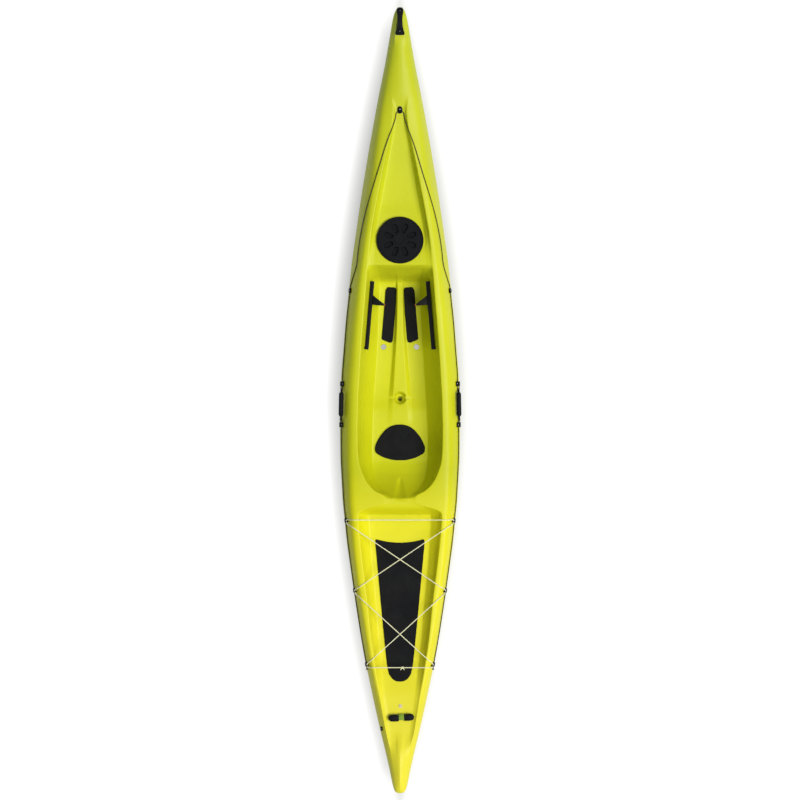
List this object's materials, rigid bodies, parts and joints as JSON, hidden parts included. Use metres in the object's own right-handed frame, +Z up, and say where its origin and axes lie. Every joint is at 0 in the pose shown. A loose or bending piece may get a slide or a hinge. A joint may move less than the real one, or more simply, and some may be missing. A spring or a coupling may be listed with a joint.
{
  "type": "sit-on-top touring kayak",
  "caption": "Long sit-on-top touring kayak with moulded footwells and seat, foot rails with sliding pedals, a round hatch, a tankwell with laced bungee, deck line and carry handles.",
  "frame": {"origin": "on the ground under the middle of the boat, where the flat of the keel rests", "axes": "+Y towards the bow, +X to starboard, +Z up"},
  "size_m": [0.7048, 4.5, 0.3848],
  "materials": {
    "moulded_hull": "moulded polyethylene, softly glossy, lime at the bow to yellow at the stern",
    "black_plastic": "moulded, satin",
    "soft_black": "soft moulded rubber, matt",
    "foam": "closed-cell foam, matt, fine grain",
    "line": "braided cord",
    "bungee": "braided shock cord",
    "webbing": "woven webbing",
    "pale_plastic": "moulded, satin",
    "red_plastic": "moulded, satin",
    "steel": "stainless screw heads"
  },
  "bodies": {
    "boat": {"bow_eyelet": "black_plastic", "bow_eyelet_screw": "steel", "bow_handle": "black_plastic", "bow_handle_front_screw": "steel", "bow_handle_rear_screw": "steel", "bungee": "bungee", "bungee_knot": "bungee", "deck_line": "line", "deck_shell": "moulded_hull", "drain_socket": "pale_plastic", "eyelet_front_left": "black_plastic", "eyelet_front_left_screw": "steel", "eyelet_front_right": "black_plastic", "eyelet_front_right_screw": "steel", "eyelet_well_front_left": "black_plastic", "eyelet_well_front_left_screw": "steel", "eyelet_well_front_right": "black_plastic", "eyelet_well_front_right_screw": "steel", "eyelet_well_middle_left": "black_plastic", "eyelet_well_middle_left_screw": "steel", "eyelet_well_middle_right": "black_plastic", "eyelet_well_middle_right_screw": "steel", "eyelet_well_rear_left": "black_plastic", "eyelet_well_rear_left_screw": "steel", "eyelet_well_rear_right": "black_plastic", "eyelet_well_rear_right_screw": "steel", "foot_rail_left": "black_plastic", "foot_rail_left_front_screw": "steel", "foot_rail_left_rear_screw": "steel", "foot_rail_right": "black_plastic", "foot_rail_right_front_screw": "steel", "foot_rail_right_rear_screw": "steel", "hatch_ring": "black_plastic", "heel_pad_left": "foam", "heel_pad_right": "foam", "hull_shell": "moulded_hull", "seat_pad": "foam", "side_anchor_front_left": "black_plastic", "side_anchor_front_left_screw": "steel", "side_anchor_front_right": "black_plastic", "side_anchor_front_right_screw": "steel", "side_anchor_rear_left": "black_plastic", "side_anchor_rear_left_screw": "steel", "side_anchor_rear_right": "black_plastic", "side_anchor_rear_right_screw": "steel", "stern_bar": "black_plastic", "stern_fitting": "black_plastic", "stern_fitting_screw": "steel", "tankwell_pad": "foam"},
    "hatch_seal": {"hatch_seal": "soft_black"},
    "hatch_lid": {"hatch_lid": "soft_black"},
    "stern_grip": {"stern_toggle": "soft_black", "stern_webbing": "webbing"},
    "drain_plug": {"drain_plug": "pale_plastic"},
    "pedal_left": {"pedal_left": "black_plastic"},
    "pedal_release_left": {"pedal_release_left": "red_plastic"},
    "side_handle_left": {"side_handle_left": "soft_black"},
    "pedal_right": {"pedal_right": "black_plastic"},
    "pedal_release_right": {"pedal_release_right": "red_plastic"},
    "side_handle_right": {"side_handle_right": "soft_black"}
  },
  "joints": [
    {"name": "hatch_lift", "type": "slide", "parent": "boat", "child": "hatch_seal", "axis": [0, 0.1293, 0.9916], "range_m": [0, 0.06]},
    {"name": "hatch_turn", "type": "hinge", "parent": "hatch_seal", "child": "hatch_lid", "pos_m": [0, 0.9171, 0.30631], "axis": [0, 0.1293, 0.9916], "range_deg": [0, 90]},
    {"name": "pedal_left_slide", "type": "slide", "parent": "boat", "child": "pedal_left", "axis": [0.0851, 0.9964, 0], "range_m": [-0.238, 0.062]},
    {"name": "pedal_left_release", "type": "slide", "parent": "pedal_left", "child": "pedal_release_left", "axis": [-0.9964, 0.0851, 0], "range_m": [0, 0.005], "stiffness_N_per_m": 400},
    {"name": "side_handle_left_swing", "type": "hinge", "parent": "boat", "child": "side_handle_left", "pos_m": [-0.3407, -0.02162, 0.2176], "axis": [-0.0201, -0.9998, 0.0029], "range_deg": [0, 100]},
    {"name": "pedal_right_slide", "type": "slide", "parent": "boat", "child": "pedal_right", "axis": [-0.0851, 0.9964, 0], "range_m": [-0.238, 0.062]},
    {"name": "pedal_right_release", "type": "slide", "parent": "pedal_right", "child": "pedal_release_right", "axis": [0.9964, 0.0851, 0], "range_m": [0, 0.005], "stiffness_N_per_m": 400},
    {"name": "side_handle_right_swing", "type": "hinge", "parent": "boat", "child": "side_handle_right", "pos_m": [0.3407, -0.02162, 0.2176], "axis": [-0.0201, 0.9998, -0.0029], "range_deg": [0, 100]},
    {"name": "stern_grip_swing", "type": "hinge", "parent": "boat", "child": "stern_grip", "pos_m": [0.00716, -1.80017, 0.28253], "axis": [-0.9986, -0.0523, 0.001], "range_deg": [0, 100]},
    {"name": "drain_plug_turn", "type": "hinge", "parent": "boat", "child": "drain_plug", "pos_m": [0.003, -1.7505, 0.26692], "axis": [0, 0.019, 0.9998], "continuous": true}
  ]
}
